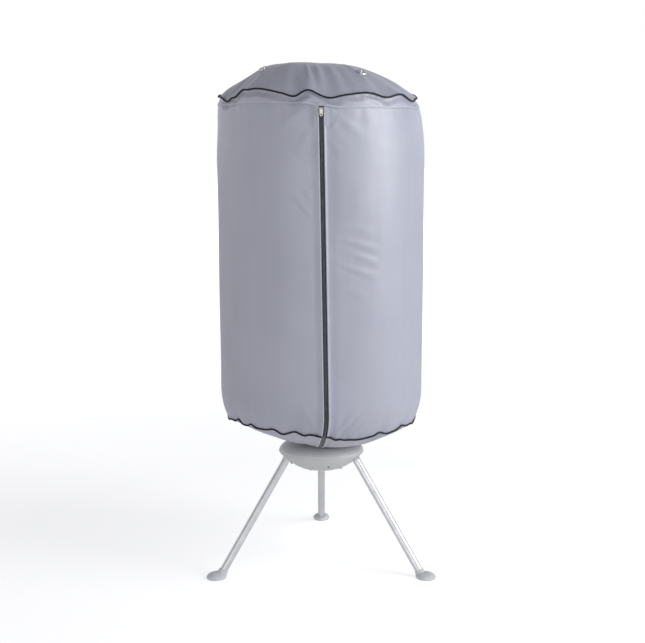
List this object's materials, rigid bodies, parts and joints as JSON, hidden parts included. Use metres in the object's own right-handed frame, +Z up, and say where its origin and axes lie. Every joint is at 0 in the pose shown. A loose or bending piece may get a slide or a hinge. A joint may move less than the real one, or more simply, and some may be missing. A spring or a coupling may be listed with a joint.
{
  "type": "portable electric clothes dryer",
  "caption": "Free-standing warm-air clothes dryer: blower base on folding tripod legs, mast with fold-down hanger arms and a zipped cylindrical fabric cover.",
  "frame": {"origin": "on the floor, in the middle of the rectangle that the whole dryer covers; the mast's axis stands 37 mm in front of it", "axes": "+Z up along the mast, -Y to the front, where the cover's zipper is, +X to the right as seen from the front"},
  "size_m": [0.6576, 0.6772, 1.455],
  "materials": {
    "housing": "satin light grey moulding",
    "dark_plastic": "fine-grained dark grey moulding",
    "filter_foam": "open-cell foam",
    "motor_metal": "plated steel can",
    "bright_steel": "polished tube",
    "screw_steel": "zinc-plated",
    "ceramic": "cream heat-proof moulding",
    "heater_aluminium": "corrugated fins",
    "copper": "bare metal can",
    "pale_plastic": "satin light grey moulding",
    "lens": "smoked grey",
    "foot_rubber": "matt mid grey",
    "cover_cloth": "satin coated polyester, blue-grey",
    "piping_cloth": "black bound edge",
    "zip_tape": "woven charcoal tape with nylon coil",
    "zip_metal": "plated zinc",
    "eyelet_metal": "plated brass"
  },
  "bodies": {
    "stand": {"arm_ring": "bright_steel", "collar_elastic": "piping_cloth", "cord_gland": "dark_plastic", "cover_band": "cover_cloth", "cover_bottom": "cover_cloth", "cover_side": "cover_cloth", "cover_top": "cover_cloth", "crown_disc": "pale_plastic", "fan_motor": "motor_metal", "fan_shroud": "dark_plastic", "hanger_hub": "pale_plastic", "heater_frame": "ceramic", "housing_screw_1": "screw_steel", "housing_screw_2": "screw_steel", "housing_screw_3": "screw_steel", "housing_screw_4": "screw_steel", "housing_screw_5": "screw_steel", "housing_screw_6": "screw_steel", "indicator_lens": "lens", "intake_filter": "filter_foam", "intake_grille": "dark_plastic", "leg_pin_left": "bright_steel", "leg_pin_rear": "bright_steel", "leg_pin_right": "bright_steel", "lower_housing": "housing", "mast_lower": "bright_steel", "mast_upper": "bright_steel", "outlet_grille": "dark_plastic", "piping_bottom": "piping_cloth", "piping_top": "piping_cloth", "ptc_heater": "heater_aluminium", "terminal_block": "ceramic", "thermal_cutout": "copper", "timer_switch": "pale_plastic", "upper_housing": "housing", "vent_eyelet_1": "eyelet_metal", "vent_eyelet_2": "eyelet_metal", "vent_eyelet_3": "eyelet_metal", "zipper_left": "zip_tape", "zipper_right": "zip_tape"},
    "leg_left": {"leg_tube_left": "bright_steel", "leg_knuckle_left": "bright_steel", "leg_foot_left": "foot_rubber"},
    "leg_right": {"leg_tube_right": "bright_steel", "leg_knuckle_right": "bright_steel", "leg_foot_right": "foot_rubber"},
    "leg_rear": {"leg_tube_rear": "bright_steel", "leg_knuckle_rear": "bright_steel", "leg_foot_rear": "foot_rubber"},
    "fan": {"fan_impeller": "dark_plastic", "motor_shaft": "bright_steel"},
    "timer_knob": {"timer_knob": "dark_plastic"},
    "zip_slider": {"zip_slider": "zip_metal"},
    "zip_pull": {"zip_pull": "zip_metal"},
    "arm_1": {"hanger_arm_1": "pale_plastic"},
    "arm_2": {"hanger_arm_2": "pale_plastic"},
    "arm_3": {"hanger_arm_3": "pale_plastic"},
    "arm_4": {"hanger_arm_4": "pale_plastic"},
    "arm_5": {"hanger_arm_5": "pale_plastic"},
    "arm_6": {"hanger_arm_6": "pale_plastic"}
  },
  "joints": [
    {"name": "leg_fold_left", "type": "hinge", "parent": "stand", "child": "leg_left", "pos_m": [-0.09699, -0.0934, 0.3265], "axis": [0.5, -0.866, 0], "range_deg": [0, 34.6]},
    {"name": "leg_fold_right", "type": "hinge", "parent": "stand", "child": "leg_right", "pos_m": [0.09699, -0.0934, 0.3265], "axis": [0.5, 0.866, 0], "range_deg": [0, 34.6]},
    {"name": "leg_fold_rear", "type": "hinge", "parent": "stand", "child": "leg_rear", "pos_m": [0, 0.0746, 0.3265], "axis": [-1, 0, 0], "range_deg": [0, 34.6]},
    {"name": "fan_spin", "type": "hinge", "parent": "stand", "child": "fan", "pos_m": [0, -0.0374, 0.306], "axis": [0, 0, 1], "continuous": true},
    {"name": "timer_turn", "type": "hinge", "parent": "stand", "child": "timer_knob", "pos_m": [0.055, 0.0846, 0.3175], "axis": [0, 1, 0], "range_deg": [0, 270]},
    {"name": "zip_slide", "type": "slide", "parent": "stand", "child": "zip_slider", "axis": [0.0173, 0, -0.9999], "range_m": [0, 0.78]},
    {"name": "pull_swing", "type": "hinge", "parent": "zip_slider", "child": "zip_pull", "pos_m": [0.0001, -0.3366, 1.3242], "axis": [-0.9999, 0, -0.0173], "range_deg": [0, 150]},
    {"name": "arm_fold_1", "type": "hinge", "parent": "stand", "child": "arm_1", "pos_m": [0.0135, -0.06078, 1.338], "axis": [0.866, 0.5, 0], "range_deg": [0, 85]},
    {"name": "arm_fold_2", "type": "hinge", "parent": "stand", "child": "arm_2", "pos_m": [0.027, -0.0374, 1.338], "axis": [0, 1, 0], "range_deg": [0, 85]},
    {"name": "arm_fold_3", "type": "hinge", "parent": "stand", "child": "arm_3", "pos_m": [0.0135, -0.01402, 1.338], "axis": [-0.866, 0.5, 0], "range_deg": [0, 85]},
    {"name": "arm_fold_4", "type": "hinge", "parent": "stand", "child": "arm_4", "pos_m": [-0.0135, -0.01402, 1.338], "axis": [-0.866, -0.5, 0], "range_deg": [0, 85]},
    {"name": "arm_fold_5", "type": "hinge", "parent": "stand", "child": "arm_5", "pos_m": [-0.027, -0.0374, 1.338], "axis": [0, -1, 0], "range_deg": [0, 85]},
    {"name": "arm_fold_6", "type": "hinge", "parent": "stand", "child": "arm_6", "pos_m": [-0.0135, -0.06078, 1.338], "axis": [0.866, -0.5, 0], "range_deg": [0, 85]}
  ]
}
